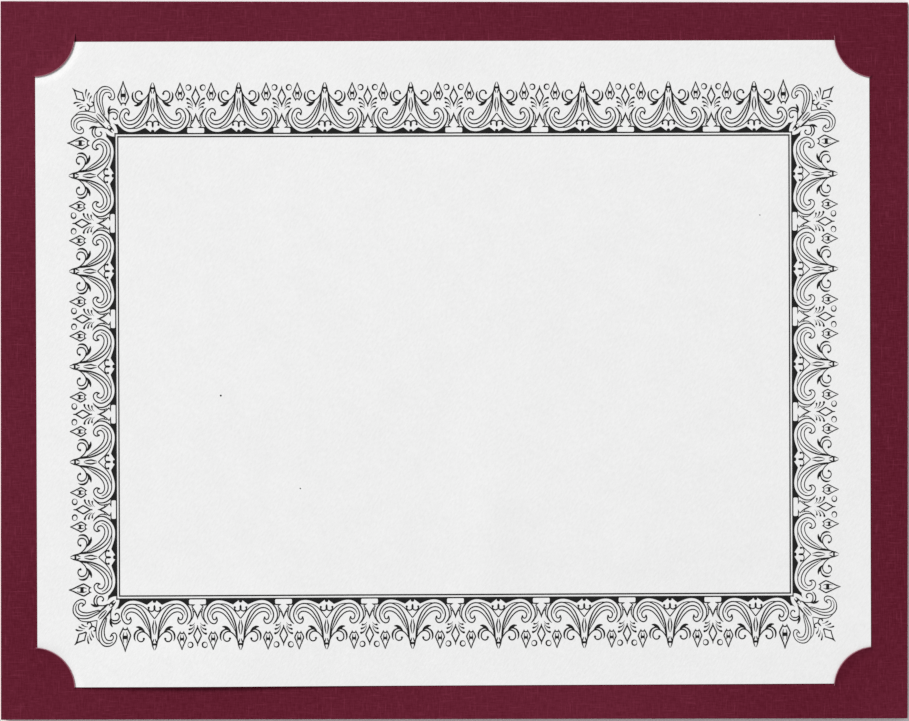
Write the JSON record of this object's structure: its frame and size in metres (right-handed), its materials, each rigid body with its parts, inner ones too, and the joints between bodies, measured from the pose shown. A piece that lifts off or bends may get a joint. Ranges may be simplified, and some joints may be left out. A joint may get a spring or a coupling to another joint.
{
  "type": "certificate holder",
  "caption": "Folding linen card certificate holder: a mount panel with quarter-round corner slits holds a paper certificate, and a plain cover folds flat behind it or closes over it.",
  "frame": {"origin": "under the middle of the folded outline, on the surface that the folded holder lies on", "axes": "+X along the fold, to the right of the certificate; +Y up the certificate, towards the fold; +Z out of the certificate's face"},
  "size_m": [0.304, 0.2404, 0.0033],
  "materials": {
    "linen_card": "burgundy cover card embossed with a linen weave, dull with a faint sheen",
    "certificate_paper": "white certificate paper with a faint felt grain, printed with a black ornamental border"
  },
  "bodies": {
    "panel": {"mount_panel": "linen_card"},
    "spine": {"fold_spine": "linen_card"},
    "cover": {"cover_panel": "linen_card"},
    "certificate": {"certificate_sheet": "certificate_paper"},
    "tab_top_left": {"corner_tab_top_left": "linen_card"},
    "tab_top_right": {"corner_tab_top_right": "linen_card"},
    "tab_bottom_left": {"corner_tab_bottom_left": "linen_card"},
    "tab_bottom_right": {"corner_tab_bottom_right": "linen_card"}
  },
  "joints": [
    {"name": "spine_fold", "type": "hinge", "parent": "panel", "child": "spine", "pos_m": [0, 0.12003, 0.00243], "axis": [1, 0, 0], "range_deg": [0, 180]},
    {"name": "cover_fold", "type": "hinge", "parent": "spine", "child": "cover", "pos_m": [0, 0.12003, 0.00017], "axis": [1, 0, 0], "range_deg": [0, 180]},
    {"name": "tab_top_left_lift", "type": "hinge", "parent": "panel", "child": "tab_top_left", "pos_m": [-0.13465, 0.1023, 0.0026], "axis": [0.7071, 0.7071, 0], "range_deg": [-40, 0], "stiffness_Nm_per_rad": 0.02},
    {"name": "tab_top_right_lift", "type": "hinge", "parent": "panel", "child": "tab_top_right", "pos_m": [0.13465, 0.1023, 0.0026], "axis": [0.7071, -0.7071, 0], "range_deg": [-40, 0], "stiffness_Nm_per_rad": 0.02},
    {"name": "tab_bottom_left_lift", "type": "hinge", "parent": "panel", "child": "tab_bottom_left", "pos_m": [-0.13465, -0.1035, 0.0026], "axis": [-0.7071, 0.7071, 0], "range_deg": [-40, 0], "stiffness_Nm_per_rad": 0.02},
    {"name": "tab_bottom_right_lift", "type": "hinge", "parent": "panel", "child": "tab_bottom_right", "pos_m": [0.13465, -0.1035, 0.0026], "axis": [-0.7071, -0.7071, 0], "range_deg": [-40, 0], "stiffness_Nm_per_rad": 0.02},
    {"name": "certificate_lift", "type": "slide", "parent": "panel", "child": "certificate", "axis": [0, 0, -1], "range_m": [-0.04, 0]}
  ],
  "couplings": [
    {"joint": "cover_fold", "follows": "spine_fold", "ratio": 1}
  ]
}
